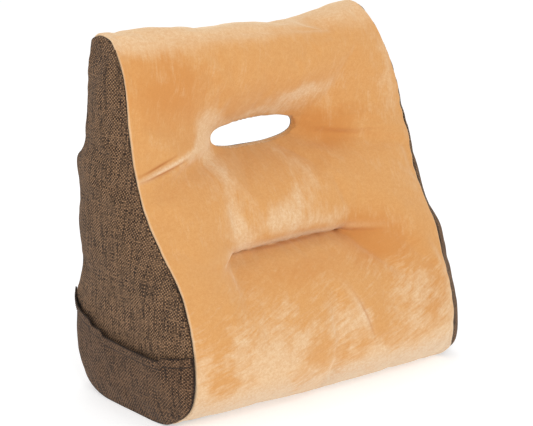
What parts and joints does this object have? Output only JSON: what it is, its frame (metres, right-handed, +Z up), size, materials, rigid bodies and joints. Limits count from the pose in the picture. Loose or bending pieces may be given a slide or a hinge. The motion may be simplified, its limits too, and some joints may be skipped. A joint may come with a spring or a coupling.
{
  "type": "lumbar support cushion",
  "caption": "Free-standing wedge back cushion with a velour front, woven sides, a see-through grip slot, a stitched crease, a side pocket and a zip across the lower back.",
  "frame": {"origin": "on the floor under the middle of the base, at the middle of the bounding box", "axes": "+X across the cushion to the sitter's left, -Y towards the sitter's back (the velour front faces -Y), +Z up"},
  "size_m": [0.479, 0.2721, 0.488],
  "materials": {
    "velour": "brushed short-pile camel velour",
    "woven": "dark brown melange plain weave",
    "base_cloth": "dark brown woven base cloth",
    "liner": "white spun-bond lining cloth",
    "filling": "loose polyester fibre filling",
    "thread": "camel twisted tuft thread",
    "tape": "dark brown woven tape",
    "piping": "dark brown piped edge",
    "zip_coil": "dark moulded nylon coil",
    "zip_metal": "dark plated zip metal",
    "label": "blank satin label"
  },
  "bodies": {
    "cushion": {"front_panel": "velour", "left_side_panel": "woven", "right_side_panel": "woven", "base_panel": "base_cloth", "grip_slot_lining": "velour", "back_panel_lower": "woven", "back_panel_upper": "woven", "liner_left_side": "liner", "liner_right_side": "liner", "liner_wrap": "liner", "fill_base": "filling", "fill_lumbar": "filling", "fill_slot_left": "filling", "fill_slot_right": "filling", "fill_top": "filling", "tuft_line": "thread", "tuft_back_tape": "tape", "tuft_tie_straps": "tape", "left_back_piping": "piping", "right_back_piping": "piping", "side_pocket": "woven", "pocket_hem": "woven", "zip_tape_upper": "tape", "zip_coil_upper": "zip_coil", "zip_tape_lower": "tape", "zip_coil_lower": "zip_coil", "zip_top_stops": "zip_metal", "zip_bottom_stop": "zip_metal", "care_label": "label"},
    "zip_slider": {"zip_slider": "zip_metal"},
    "zip_pull": {"zip_pull": "zip_metal"}
  },
  "joints": [
    {"name": "zip_slide", "type": "slide", "parent": "cushion", "child": "zip_slider", "axis": [-1, 0, 0], "range_m": [0, 0.375]},
    {"name": "pull_hinge", "type": "hinge", "parent": "zip_slider", "child": "zip_pull", "pos_m": [0.189, 0.1325, 0.07], "axis": [0, 0, -1], "range_deg": [0, 175]}
  ]
}
